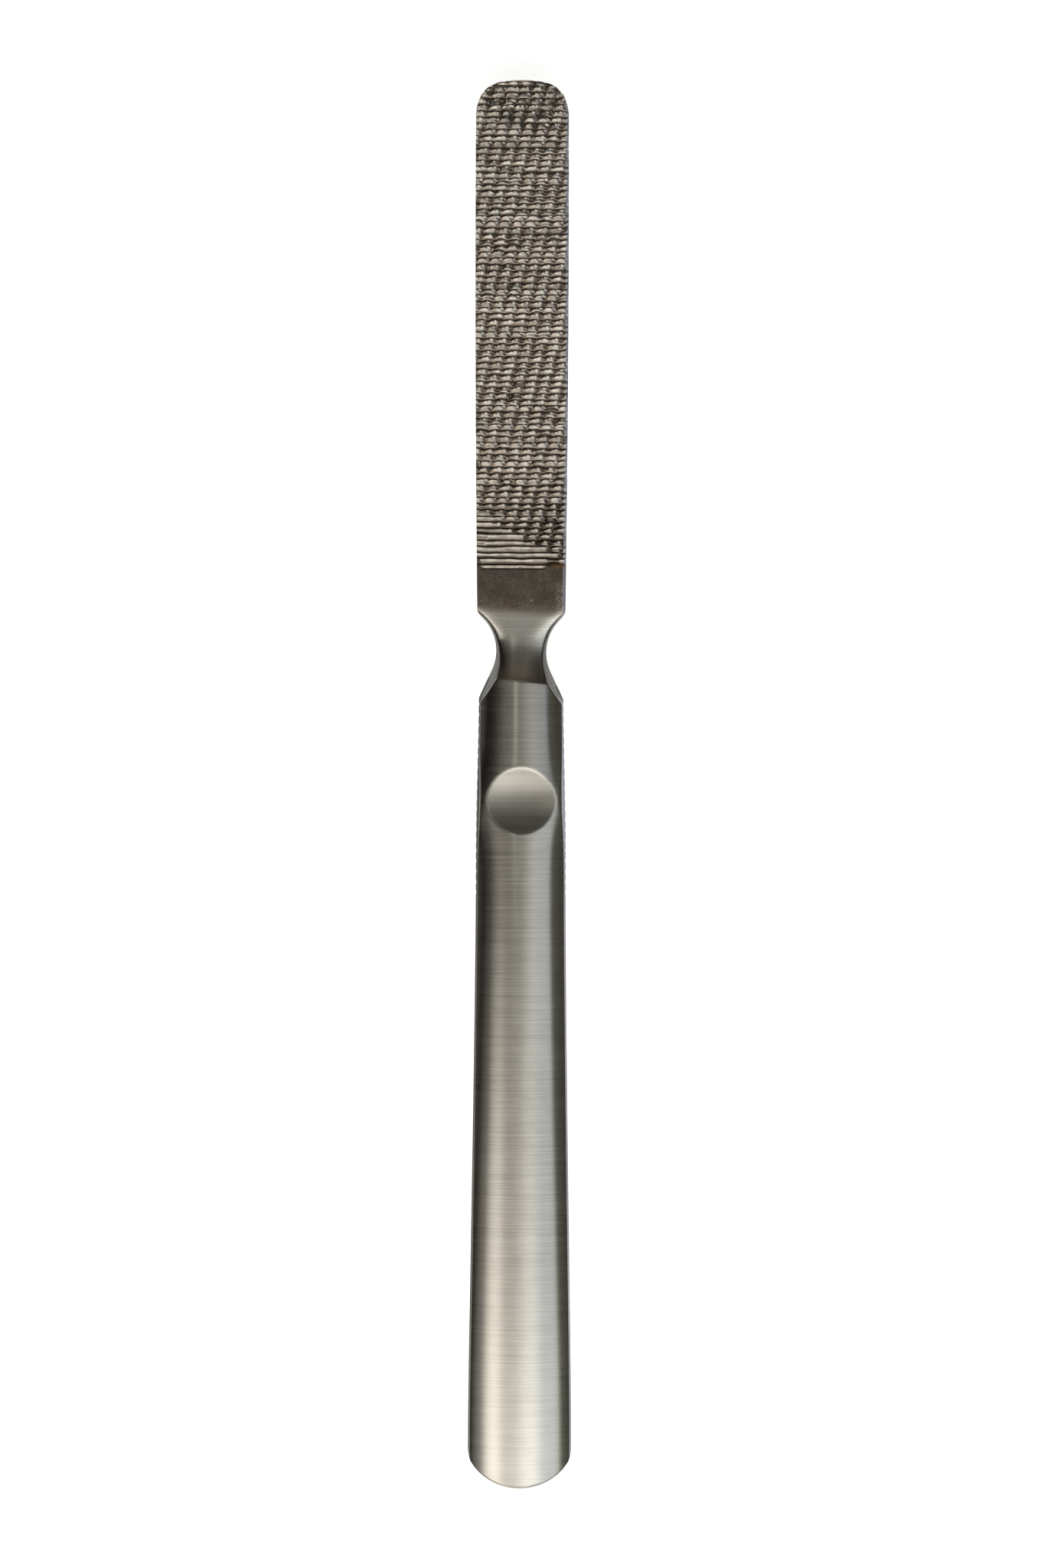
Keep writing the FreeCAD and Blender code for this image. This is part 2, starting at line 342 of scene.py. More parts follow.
# %% Scoop of the neck
blade_half_thickness = 1.5
neck_sink = 0.30
neck_rise_radius = 11.5
neck_oval = 2.2
ricasso_oval = 5.5
mouth_tilt = 0.12
ricasso_tilt = 0.06
TILT_CHANGE = (ricasso_end_y - 1, mouth_y + 2)
mouth_round = 0.10
ricasso_round = 0.16


def grind_tilt(y):
    """How far the grinding slants across: more at the mouth than at the ricasso."""
    return between(ricasso_tilt, mouth_tilt, ramp(*TILT_CHANGE, y))


def neck_section(x, y):
    """The neck's oval section: 1 on the axis, 0 at the outline, flatter towards the ricasso."""
    share = np.clip(np.abs(x) / waist_half_width_at(x, y), 0, 1)
    power = between(neck_oval, ricasso_oval, ramp(neck_floor_y, ricasso_end_y, y))
    return (1 - share ** power) ** (1 / power)


def scoop_height(x, y):
    """The ground hollow across the neck: a shallow run, then a long rise to the crown."""
    run = ricasso_end_y - neck_floor_y
    run_radius = (run ** 2 + neck_sink ** 2) / (2 * neck_sink)
    floor = blade_half_thickness - neck_sink
    along = y + grind_tilt(y) * x
    shallow = floor + run_radius - circle_run(along - neck_floor_y, run_radius)
    rise = floor + neck_rise_radius - circle_run(neck_floor_y - along, neck_rise_radius)
    height = np.where(along > neck_floor_y, shallow, rise) * neck_section(x, y)
    return np.where(along < neck_floor_y - neck_rise_radius, 2 * handle_half_thickness, height)


def ground_height(x, y, face):
    """What the grinding of the neck leaves of a face."""
    soft = np.where(y < neck_floor_y, mouth_round, ricasso_round)
    face = lower_of(face, scoop_height(x, y), soft)
    return lower_of(face, flank_height(x, y), flank_rounding(y))


print(f"floor of the scoop {scoop_height(0.0, neck_floor_y):.2f} mm above the middle plane")

# %% [markdown]
# The thumb dimple is a dish pressed into the crown, nearly flat across the handle and hollow along it,
# and the butt is rounded over its edge. A sculpted dent would do, but a dish with two radii gives the
# clean, almost round rim of a pressing.

# %% Front of the handle
dimple_depth = 1.28
dimple_radius_along = 8.55
dimple_radius_across = 45.0
dimple_rim = 0.16
butt_edge = 1.8
butt_swell = 1.3
butt_round = 0.5
grip_y = -40.0


def handle_height(x, y):
    """The front of the handle, above the middle plane."""
    height = oval_height(x, handle_half_width(y), side_radius(y))
    dish = handle_half_thickness - dimple_depth
    dish = dish + x ** 2 / (2 * dimple_radius_across) + (y - dimple_y) ** 2 / (2 * dimple_radius_along)
    height = lower_of(height, dish, dimple_rim)
    height = np.where(y > dimple_y, ground_height(x, y, height), height)
    inside = butt_end_radius - np.hypot(x, y - butt_centre_y)
    edge = butt_swell * handle_half_thickness * circle_run(1 - np.clip(inside / butt_edge, 0, 1), 1)
    return np.where(y < butt_centre_y, lower_of(height, edge, butt_round), height)


print(f"crown {handle_height(0.0, grip_y):.2f} mm, dimple floor {handle_height(0.0, dimple_y):.2f} mm")

# %% [markdown]
# The teeth of a hand-cut file come from two passes with a chisel. The up-cut runs straight across and
# gives each row its edge, with a steep face towards the tip and a long back. No two blows are alike,
# so each row gets its own small error from a seeded generator. A bump map would be cheaper, but real
# height keeps the teeth true from every side.

# %% Rows of the up-cut
cut_end_y = 30.60
first_row_y = cut_end_y - 0.40
up_pitch = 0.87
up_depth = 0.25
face_share = 0.26
wave_spans = 8
wave_stray = 0.035
row_stray = 0.03
error_count = 256
cut_random = np.random.default_rng(11)
ROW_ERROR = cut_random.normal(size=error_count)
GROOVE_ERROR = cut_random.normal(size=error_count)
PAD_ERROR = cut_random.normal(size=(error_count, error_count))
WAVE_ERROR = cut_random.normal(size=(error_count, wave_spans + 1))


def saw(phase):
    """Depth of one row, from 0 at the edge to 1 at the root and back up the long back."""
    return np.where(phase < face_share, phase / face_share, (1 - phase) / (1 - face_share))


def row_wander(x, y, pitch):
    """How far a row strays from straight, changing slowly across the blade."""
    row = np.floor((y - first_row_y) / pitch + 0.5).astype(int) % error_count
    place = np.clip((x / blade_half_width(y) + 1) * wave_spans / 2, 0, wave_spans - 0.001)
    knot = place.astype(int)
    share = smooth(place - knot)
    wave = between(WAVE_ERROR[row, knot], WAVE_ERROR[row, knot + 1], share)
    return wave_stray * wave + row_stray * ROW_ERROR[row]


print(f"{int((tip_y - cut_end_y) / up_pitch)} rows in front, {up_depth} mm deep")

# %% [markdown]
# The over-cut is slanted and breaks the rows into pads. Where its groove crosses a row, the edge of the
# tooth falls back, so each pad ends up as a small arch. The grooves could be cut with booleans, but a
# wave across the slant, sharpened by a power, gives their round walls in one line.

# %% The over-cut
over_pitch = 0.868
over_depth = 0.30
over_sharpness = 1.7
over_angle = math.radians(27.9)
OVER_FIRST = (-3.04, 37.05)
OVER_START = (-4.4, -3.4)
groove_stray = 0.03
groove_depth_error = 0.10
groove_depth_draw = 40
tooth_arch = 0.23
pad_middle = 0.6
arch_turn = 0.2
arch_least = 0.45
ARCH_BACK = (0.26, 0.86)
ARCH_EDGE = (1.12, 1.0)


def over_cut(x, y):
    """The over-cut's depth at a place, and which of its ridges the place is on."""
    first = OVER_FIRST[0] * math.sin(over_angle) + OVER_FIRST[1] * math.cos(over_angle)
    across = (x * math.sin(over_angle) + y * math.cos(over_angle) - first) / over_pitch
    groove = np.floor(across + 0.5).astype(int)
    offset = across - groove - groove_stray * GROOVE_ERROR[groove % error_count]
    wall = (0.5 + 0.5 * np.cos(2 * math.pi * offset)) ** over_sharpness
    begun = np.where(groove == 0, ramp(*OVER_START, x), 1.0) * (groove >= 0)
    error = groove_depth_error * GROOVE_ERROR[(groove + groove_depth_draw) % error_count]
    return over_depth * (1 + error) * wall * begun, np.floor(across).astype(int)


def arch_fall(x, y):
    """How far the edge of a tooth falls back towards the ends of its pad."""
    place = (y - first_row_y) / up_pitch
    tooth = np.floor(place - arch_turn)
    phase = place - tooth
    wall = over_cut(x, first_row_y + (tooth + pad_middle) * up_pitch)[0] / over_depth
    near_edge = ramp(*ARCH_BACK, phase) * ramp(*ARCH_EDGE, phase)
    return tooth_arch * wall * between(arch_least, 1, near_edge)


print(f"over-cut {math.degrees(over_angle):.1f} degrees aslant, {over_depth} mm deep")

# %% [markdown]
# In front both cuts are laid over each other. The first row is only half cut and stops short of the
# right edge, and each pad leans a little its own way, which makes the teeth glint unevenly. The back
# has finer, single rows. Separate tooth objects would be far too many, so both faces stay one height.

# %% Both cuts together
FIRST_ROW_PHASE = (0.44, 0.62)
FIRST_ROW_LEFT = (-6.0, -5.4)
FIRST_ROW_RIGHT = (3.6, 3.1)
first_row_depth = 0.75
SECOND_ROW_RIGHT = (3.1, 3.7)
SECOND_ROW_PHASE = (0.5, 0.2)
second_row_loss = 0.5
row_depth_error = 0.12
over_shear = 0.15
over_loss = 0.5
PAD_BACK_START = (face_share, face_share + 0.15)
PAD_BACK_END = (0.85, 1.0)
pad_lean = 0.16
lean_pivot = 0.63
fine_pitch = 0.60
fine_depth = 0.20
fine_depth_error = 0.1
fine_draw = 90


def double_cut(x, y):
    """Depth of the front's teeth below the face."""
    place = (y - first_row_y) / up_pitch
    row = np.floor(place).astype(int)
    phase = place - row
    first_row = first_row_depth * ramp(*FIRST_ROW_PHASE, phase)
    first_row = first_row * ramp(*FIRST_ROW_LEFT, x) * ramp(*FIRST_ROW_RIGHT, x)
    second_row = 1 - second_row_loss * ramp(*SECOND_ROW_RIGHT, x) * ramp(*SECOND_ROW_PHASE, phase)
    cut = np.where(row == 0, first_row, np.where(row == 1, second_row, 1.0)) * (row >= 0)
    share = (1 + row_depth_error * ROW_ERROR[row % error_count]) * saw(phase) * cut
    pushed = first_row_y + (row + pad_middle + over_shear * (phase - pad_middle)) * up_pitch
    over, ridge = over_cut(x, np.where(row > 0, pushed, y))
    pad = PAD_ERROR[row % error_count, ridge % error_count]
    back = ramp(*PAD_BACK_START, phase) * (1 - ramp(*PAD_BACK_END, phase))
    lean = pad_lean * pad * (phase - lean_pivot) * up_pitch * back * (row > 0)
    return up_depth * share + over * (1 - over_loss * np.clip(share, 0, 1)) - lean


def fine_cut(x, y):
    """Depth of the back's teeth below the face: single rows, closer together."""
    place = (y - cut_end_y) / fine_pitch
    row = np.floor(place).astype(int)
    deep = fine_depth * (1 + fine_depth_error * ROW_ERROR[(row + fine_draw) % error_count])
    return deep * saw(place - row) * (row >= 0)


print(f"{int((tip_y - cut_end_y) / fine_pitch)} rows behind, {fine_depth} mm deep")

# %% [markdown]
# A file's long edges are broken with a stone, here more on the right than on the left, and so is the
# end of its tip. A bevel modifier would round the teeth as well, so the break is taken off the height.

# %% Broken edges of the blade
right_break = 1.7
left_break = 0.1
least_break = 0.001
break_slope = 0.4
tip_break = 0.40
tip_drop = 0.15


def edge_round(x, half_width, size):
    """How much the long edges of the blade are broken."""
    reach = np.maximum(size * np.where(x > 0, right_break, left_break), least_break)
    near = np.clip(1 - (half_width - np.abs(x)) / reach, 0, 1)
    return break_slope * reach * near * near


def tip_round(x, y):
    """How much the end of the tip is broken."""
    near = np.clip(1 - (tip_end_y(x) - y) / tip_break, 0, 1)
    return tip_drop * near * near


print(f"tip broken by {tip_round(0.0, tip_y):.2f} mm at its end")

# %% [markdown]
# A material is written as sums of shader sockets. The nodes could be placed by hand in the editor, but
# a sum is easier to read and to change. The small class below wraps a socket, so that adding or
# multiplying two of them adds Math nodes, and one method makes any other node.

# %% A socket in a sum
MIX_FACTOR = 0
MIX_FIRST = 6
MIX_SECOND = 7
MIX_COLOUR = 2


class Wire:
    """A shader socket that can be used in a sum."""

    def __init__(self, tree, socket=None):
        self.tree = tree
        self.socket = socket

    def node(self, kind, settings=(), inputs=(), output=0):
        """Any node: its settings first, then values or links for its sockets."""
        made = self.tree.nodes.new("ShaderNode" + kind)
        for name, value in dict(settings).items():
            setattr(made, name, value)
        for name, value in dict(inputs).items():
            if isinstance(value, Wire):
                self.tree.links.new(value.socket, made.inputs[name])
            else:
                made.inputs[name].default_value = value
        return Wire(self.tree, made.outputs[output] if len(made.outputs) else None)

    def math(self, operation, *values):
        return self.node("Math", {"operation": operation}, enumerate(values))

    def __add__(self, other):
        return self.math("ADD", self, other)

    __radd__ = __add__

    def __sub__(self, other):
        return self.math("SUBTRACT", self, other)

    def __rsub__(self, other):
        return self.math("SUBTRACT", other, self)

    def __mul__(self, other):
        return self.math("MULTIPLY", self, other)

    __rmul__ = __mul__

    def __abs__(self):
        return self.math("ABSOLUTE", self)

    def larger(self, other):
        """The larger of two values."""
        return self.math("MAXIMUM", self, other)

    def step(self, low, high):
        """Rises smoothly from 0 to 1 as this value goes from low to high."""
        span = {"Value": self, "From Min": low, "From Max": high, "To Min": 0.0, "To Max": 1.0}
        return self.node("MapRange", {"interpolation_type": "SMOOTHSTEP"}, span)

    def blend(self, first, second):
        """From the first colour to the second as this value goes from 0 to 1."""
        sockets = {MIX_FACTOR: self, MIX_FIRST: first, MIX_SECOND: second}
        return self.node("Mix", {"data_type": "RGBA"}, sockets, MIX_COLOUR)

    def noise(self, scale, detail, stretch=(1, 1, 1)):
        """Noise over this position, with grains 1 / scale long, drawn out by a stretch."""
        drawn = self.node("VectorMath", {"operation": "MULTIPLY"}, {0: self, 1: stretch})
        return self.node("TexNoise", {}, {"Vector": drawn, "Scale": scale, "Detail": detail})

    def split(self):
        """The three parts of a position or a direction."""
        return [self.node("SeparateXYZ", {}, {0: self}, part) for part in range(3)]


print("a wire can:", ", ".join(name for name in vars(Wire) if not name.startswith("_")))

# %% Start and finish a material
def start_material(name):
    """A new material and its empty graph."""
    material = bpy.data.materials.new(name)
    material.use_nodes = True
    material.node_tree.nodes.clear()
    return material, Wire(material.node_tree)


def place_mm(graph):
    """The position on the file, in millimetres."""
    place = graph.node("TexCoord", output="Object")
    return graph.node("VectorMath", {"operation": "SCALE"}, {0: place, "Scale": 1 / MM})


def colour(red, green, blue):
    return (red, green, blue, 1.0)


def finish_steel(graph, base, roughness, height, bump_mm, anisotropic, metallic=1.0):
    """A metal surface with a bump, linked to the material's output."""
    bump = graph.node("Bump", {}, {"Height": height, "Strength": 1.0, "Distance": bump_mm * MM})
    shader = graph.node("BsdfPrincipled", {}, {
        "Base Color": base, "Roughness": roughness, "Normal": bump,
        "Metallic": metallic, "Anisotropic": anisotropic,
    })
    graph.node("OutputMaterial", {}, {"Surface": shader})


print("white is", colour(1, 1, 1))

# %% [markdown]
# The tight sides of the handle and the flanks of the neck lean away from the softbox, and their shade
# is painted into the colour: near black on the left, blue grey on the right, grey on the flanks, with a
# pale painted highlight at the end of the butt. Masks could be painted, but the lean of the surface
# itself tells which faces they are. The marks on the front, such as the painted shade in the dimple, are
# ovals over the plan.

# %% Painted shade on the sides, and oval marks
# Painted shade on faces that lean away: near black on the left, blue grey on the right, grey on the
# neck's flanks, and a pale painted highlight at the end of the butt. The levels below give the lean where
# the painted shade begins.
PAINTED_SHADE_LEFT = colour(0.045, 0.045, 0.040)
PAINTED_SHADE_TOWARDS_BUTT = colour(0.10, 0.095, 0.085)
PAINTED_SHADE_RIGHT = colour(0.24, 0.24, 0.285)
PAINTED_HIGHLIGHT_BUTT_END = colour(0.70, 0.68, 0.63)
PAINTED_FLANK_SHADE = colour(0.13, 0.127, 0.118)
PAINTED_SHADE_LEVELS = (0.60, 0.80)
LEFTWARDS = (1, -1)
RIGHTWARDS = (-1, 1)
UPPER_NECK = (17.5, 20.5)
TOWARDS_BUTT = (-15, -90)
AT_BUTT_END = (-96.5, -98.5)
AT_SHOULDER = (shoulder_y - 0.6, shoulder_y + 0.4)
MARK_FADE = (1.0, 0.1)


def with_painted_side_shade(graph, place, base, shade_levels=PAINTED_SHADE_LEVELS, left_extra_shade=0.0):
    """Paints shade on the faces that lean away and a highlight at the butt's end, with more shade on the
    upper neck's left.
    """
    x, y = place.split()[:2]
    level = abs(graph.node("NewGeometry", output="Normal").split()[2])
    level = level - left_extra_shade * x.step(*LEFTWARDS) * y.step(*UPPER_NECK)
    # The colour of the painted shade, by side and by place along the file.
    left = y.step(*TOWARDS_BUTT).blend(PAINTED_SHADE_LEFT, PAINTED_SHADE_TOWARDS_BUTT)
    edge = x.step(*RIGHTWARDS).blend(left, PAINTED_SHADE_RIGHT)
    edge = y.step(*AT_BUTT_END).blend(edge, PAINTED_HIGHLIGHT_BUTT_END)
    side = y.step(*AT_SHOULDER).blend(edge, PAINTED_FLANK_SHADE)
    return level.step(*shade_levels).blend(side, base)


def spot(place, centre, half_width, half_height):
    """An oval mark on the front: 1 in its middle, 0 from its edge outwards."""
    offset = place.node("VectorMath", {"operation": "SUBTRACT"}, {0: place, 1: (*centre, 0)})
    x, y = offset.split()[:2]
    x = x * (1 / half_width)
    y = y * (1 / half_height)
    return (x * x + y * y).step(*MARK_FADE)


print(f"sides darken past a lean of {math.degrees(math.acos(PAINTED_SHADE_LEVELS[1])):.0f} degrees")

# %% [markdown]
# The handle is stainless sheet, brushed across. Brushing leaves fine lines that spread a reflection
# along the file and keep it sharp across, which the shader's anisotropy gives. The lines themselves
# show as slight changes of colour and gloss, drawn out across the handle. A photographed texture could
# carry them, but noise has no seams and no edge.

# %% Brushed steel of the handle
ACROSS_LINES = (0.02, 1.0, 0.02)
MIDDLE_TONES = (0.3, 0.7)
SHELL_DARK = colour(0.53, 0.51, 0.475)
SHELL_LIGHT = colour(0.66, 0.64, 0.60)
# Painted shade in the dimple: its colour, the oval it covers, and below, how strongly it is laid on.
DIMPLE_PAINTED_SHADE = colour(0.30, 0.285, 0.25)
DIMPLE_REACH = (4.9, 4.6)
DIMPLE_FADE = (0.0, 0.08)
dimple_shade_amount = 0.32
shell_roughness = 0.18
shell_bump = 0.0008
shell_brushing = 0.65


def shell_steel():
    material, graph = start_material("shell_steel")
    place = place_mm(graph)
    lines = place.noise(scale=5.0, detail=4.0, stretch=ACROSS_LINES)
    scuffs = place.noise(scale=0.35, detail=4.0)
    brushed = (lines * 0.7 + scuffs * 0.3).step(*MIDDLE_TONES)
    base = brushed.blend(SHELL_DARK, SHELL_LIGHT)
    dished = spot(place, (0, dimple_y), *DIMPLE_REACH).step(*DIMPLE_FADE)
    # Painted shade on the sides that lean away, and a painted highlight at the butt's end.
    base = with_painted_side_shade(graph, place, base)
    # Painted shade on the dimple's floor; the extra roughness there is the dimple's real duller gloss.
    base = (dimple_shade_amount * dished).blend(base, DIMPLE_PAINTED_SHADE)
    roughness = shell_roughness + 0.08 * lines + 0.03 * scuffs + 0.07 * dished
    finish_steel(graph, base, roughness, lines, shell_bump, shell_brushing)
    return material


shell_finish = shell_steel()
print(f"{shell_finish.name}: {len(shell_finish.node_tree.nodes)} nodes")

# %% [markdown]
# The weld and the braze were melted, so they have a fine grain instead of brushing lines. The weld was
# dressed with the shells and has a little of their brushing. The braze is a paler, warmer silver. Both
# are the same kind of finish with other numbers, so one function makes the two.

# %% Weld and braze
def cast_metal(name, grain_scale, detail, dark, light, least_roughness, spread, bump, brushing):
    """A melted and dressed joint, with a fine grain in its colour, gloss and height."""
    material, graph = start_material(name)
    place = place_mm(graph)
    grains = place.noise(grain_scale, detail)
    base = grains.step(*MIDDLE_TONES).blend(dark, light)
    # Painted shade on the faces that lean away, as on the shells.
    base = with_painted_side_shade(graph, place, base)
    finish_steel(graph, base, least_roughness + spread * grains, grains, bump, brushing)
    return material


weld_finish = cast_metal(
    "weld_steel", grain_scale=3.0, detail=4.0,
    dark=colour(0.40, 0.38, 0.35), light=colour(0.54, 0.52, 0.48),
    least_roughness=0.30, spread=0.15, bump=0.004, brushing=0.2,
)
braze_finish = cast_metal(
    "braze_alloy", grain_scale=4.0, detail=3.0,
    dark=colour(0.58, 0.54, 0.45), light=colour(0.70, 0.66, 0.56),
    least_roughness=0.28, spread=0.12, bump=0.003, brushing=0.0,
)
print("finishes of the joints:", weld_finish.name, braze_finish.name)

# %% [markdown]
# The blade is one bar with three finishes. The teeth are bright on their backs and have painted
# shade in their roots; both grow darker low on the blade, and colour follows depth. The ricasso is left
# dark from hardening, with fine specks, a rubbed right edge and a smear of rust by the first teeth. The
# neck is ground bright again, warmer towards the mouth, with painted shade on its flanks. Three materials
# could be given to the faces, but one material that blends them by place keeps their borders soft.

# %% Colour of the teeth
LOW_ROWS = (44, 33)
TIP_ROWS = (70, 88)
DIM_ROWS = (62, 36)
LOW_ROOT_SHADE_ROWS = (48, 33)
CREST_HEIGHTS = (1.18, 1.37)
PATCH_TONES = (0.36, 0.64)
BACK_DULL = colour(0.48, 0.435, 0.385)
BACK_BRIGHT = colour(0.76, 0.71, 0.645)
BACK_DIM = colour(0.30, 0.26, 0.22)
# Painted shade in the roots of the teeth, darker low on the blade.
PAINTED_ROOT_SHADE = colour(0.37, 0.30, 0.25)
PAINTED_ROOT_SHADE_LOW = colour(0.10, 0.08, 0.065)
dimming = 0.30
low_drop = 0.07
tip_lift = 0.03
cloud_wave = 0.05
speck_wave = 0.06


def teeth_colour(place, y, rise, specks, clouds):
    """Bright backs over roots with painted shade, with the border between them at a height that varies.
    """
    lowered = rise - low_drop * y.step(*LOW_ROWS) + tip_lift * y.step(*TIP_ROWS)
    lowered = lowered + cloud_wave * (clouds - 0.5) + speck_wave * (specks - 0.5)
    patches = place.noise(scale=0.9, detail=1.0).step(*PATCH_TONES)
    bright = patches.blend(BACK_DULL, BACK_BRIGHT)
    bright = (dimming * y.step(*DIM_ROWS)).blend(bright, BACK_DIM)
    # Painted shade in the roots, darker low on the blade.
    root = y.step(*LOW_ROOT_SHADE_ROWS).blend(PAINTED_ROOT_SHADE, PAINTED_ROOT_SHADE_LOW)
    return lowered.step(*CREST_HEIGHTS).blend(root, bright)


print("tooth backs are bright above", CREST_HEIGHTS[1], "mm")

# %% Colour of the ricasso and the neck
RICASSO_DARK = colour(0.190, 0.152, 0.127)
RICASSO_LIGHT = colour(0.335, 0.287, 0.250)
RICASSO_TONES = (0.35, 0.68)
PALE = colour(0.62, 0.59, 0.53)
RUBBED_ACROSS = (4.7, 5.3)
RUBBED_ALONG = (29.2, 27.6)
RUBBED_TONES = (0.40, 0.62)
NICK = (1.41, 26.2)
nick_radius = 0.22
PALE_TONES = (0.68, 0.74)
GROUND_DARK = colour(0.60, 0.58, 0.54)
GROUND_LIGHT = colour(0.74, 0.72, 0.68)
GROUND_WARM = colour(0.92, 0.80, 0.67)
WARM_NECK = (20.0, 15.5)
# Where the painted shade on the neck's flanks begins, and how much more of it the upper neck's left gets.
NECK_SHADE_LEVELS = (0.78, 0.92)
neck_left_extra_shade = 0.06


def ricasso_colour(place, x, y, specks, clouds):
    """Dark hardened steel with pale specks, a nick and a rubbed edge."""
    tones = (0.6 * specks + 0.4 * clouds).step(*RICASSO_TONES)
    rubbed = x.step(*RUBBED_ACROSS) * y.step(*RUBBED_ALONG) * specks.step(*RUBBED_TONES)
    pale = rubbed.larger(spot(place, NICK, nick_radius, nick_radius))
    pale = pale.larger(0.7 * specks.step(*PALE_TONES))
    return pale.blend(tones.blend(RICASSO_DARK, RICASSO_LIGHT), PALE)


def neck_colour(graph, place, y, lines):
    """Bright ground steel with lines across, warmer towards the mouth, with painted shade on its flanks.
    """
    ground = lines.step(*MIDDLE_TONES).blend(GROUND_DARK, GROUND_LIGHT)
    ground = y.step(*WARM_NECK).blend(ground, GROUND_WARM)
    return with_painted_side_shade(graph, place, ground, NECK_SHADE_LEVELS, neck_left_extra_shade)


print("neck turns warm between", WARM_NECK, "mm")

# %% Steel of the blade
CUT_BORDER = (cut_end_y + 0.02, cut_end_y + 0.16)
SHORT_ON_RIGHT = (3.2, 3.7)
SHORT_ON_LEFT = (-5.5, -5.8)
right_shortfall = 0.72
left_shortfall = 0.4
border_wave = 0.5
NECK_BORDER = (ricasso_end_y + 0.4, ricasso_end_y - 1.3)
RIM_WIDTH = (-0.60, -0.25)
RIM = colour(0.60, 0.60, 0.66)
RUST = colour(0.36, 0.17, 0.04)
RUST_PLACE = (5.10, 31.15)
RUST_REACH = (1.35, 0.34)
RUST_TONES = (0.30, 0.46)
blade_roughness = 0.27
blade_bump = 0.004
blade_brushing = 0.3


def blade_steel():
    material, graph = start_material("blade_steel")
    place = place_mm(graph)
    x, y, z = place.split()
    specks = place.noise(scale=5.0, detail=3.0)
    clouds = place.noise(scale=0.5, detail=3.0)
    lines = place.noise(scale=6.0, detail=3.0, stretch=ACROSS_LINES)
    teeth = teeth_colour(place, y, abs(z - middle_z), specks, clouds)
    ricasso = ricasso_colour(place, x, y, specks, clouds)
    ground = neck_colour(graph, place, y, lines)
    short_by = right_shortfall * x.step(*SHORT_ON_RIGHT) + left_shortfall * x.step(*SHORT_ON_LEFT)
    toothed = (y - short_by).step(*CUT_BORDER)
    along = y + ricasso_tilt * x + border_wave * (clouds - 0.5)
    necked = along.step(*NECK_BORDER)
    base = toothed.blend(necked.blend(ricasso, ground), teeth)
    rim_x = belly_half_width - side_fall * (y - belly_y) * (y - belly_y)
    rim = (x - rim_x).step(*RIM_WIDTH) * (1 - necked)
    rust = spot(place, RUST_PLACE, *RUST_REACH) * specks.step(*RUST_TONES)
    base = rust.blend(rim.blend(base, RIM), RUST)
    roughness = blade_roughness + 0.10 * specks + 0.03 * toothed - 0.06 * necked
    roughness = roughness + 0.22 * rim + 0.4 * rust
    grain = specks * (1 - necked) + 0.05 * lines * necked
    finish_steel(graph, base, roughness, grain, blade_bump, blade_brushing, 1 - rust)
    return material


blade_finish = blade_steel()
print(f"{blade_finish.name}: {len(blade_finish.node_tree.nodes)} nodes")

# %% [markdown]
# The blade is skinned over rings that follow its length: the front face from left to right, the edge,
# the back face and the other edge. The rings stand where the teeth need them, at the edge, the root
# and along the back of each row. Towards the tip they bow out to the round of its end. An even, much
# finer grid would also hold the teeth, but it would blunt their edges and cost more.

# %% Rings along the blade
FRONT_PHASES = (0.0, 0.12, 0.26, 0.42, 0.64, 0.86)
BACK_PHASES = (0.0, 0.26, 0.50, 0.80)
neck_rows = 84
ricasso_rows = 22
even_share = 0.97
EDGE_SHARES = np.array([0.98, 0.988, 0.995, 1.0])


def cut_rows(start, pitch, phases, count):
    """Places of the rings along the teeth, ending at the turn of the tip."""
    rows = int((tip_turn_y - start) / pitch)
    places = [start + (row + phase) * pitch for row in range(rows) for phase in phases]
    spare = count - len(places)
    return np.concatenate([places, np.linspace(places[-1], tip_turn_y, spare + 1)[1:]])


def plain_rows(end):
    """Places of the rings below the teeth, from the mouth of the handle to the cut."""
    return np.concatenate([
        np.linspace(mouth_y, ricasso_end_y, neck_rows)[:-1],
        np.linspace(ricasso_end_y, end, ricasso_rows)[:-1],
    ])


def column_shares(count):
    """Places across a face, even in the middle and close together at the two edges."""
    middle = np.linspace(-even_share, even_share, count)
    return np.concatenate([-EDGE_SHARES[::-1], middle, EDGE_SHARES])


print(len(plain_rows(first_row_y)), "rings below the teeth")

# %% A face of the blade
ricasso_corner = 0.9
thinnest = 0.03
edge_size = 0.28
BOW_PLACES = (tip_turn_y - 7, tip_turn_y)
MOUTH_LEAN = (mouth_y, mouth_y + 3)
CUT_START = (cut_end_y - 0.2, cut_end_y)
WANDER_START = (cut_end_y, cut_end_y + 1)
WANDER_END = (tip_turn_y - 9, tip_turn_y - 6)
ARCH_START = (cut_end_y + 0.6, cut_end_y + 1.2)
ARCH_END = (tip_turn_y, tip_turn_y - 1.5)


def neck_half_width(side, y):
    """Half the width of the blade and the neck in the middle plane, on one side of the axis."""
    return lower_of(blade_half_width(y), waist_half_width_at(side, y), ricasso_corner)


def blade_height(x, y, half_width, depth, size):
    """The face of the blade and its neck, with teeth of some depth and broken edges."""
    mouth_width = handle_half_width(mouth_y)
    crown = oval_height(np.minimum(np.abs(x), mouth_width), mouth_width, side_radius(mouth_y))
    face = np.where(y < neck_floor_y, crown, blade_half_thickness)
    height = ground_height(x, y, face) - depth - edge_round(x, half_width, size) - tip_round(x, y)
    return np.maximum(height, thinnest)


def tip_bow(x, y):
    """How far a ring bows out towards the round of the tip."""
    bow = np.maximum(tip_end_y(x) - tip_turn_y, 0) * ramp(*BOW_PLACES, y)
    return np.where(y > belly_y, bow, 0)


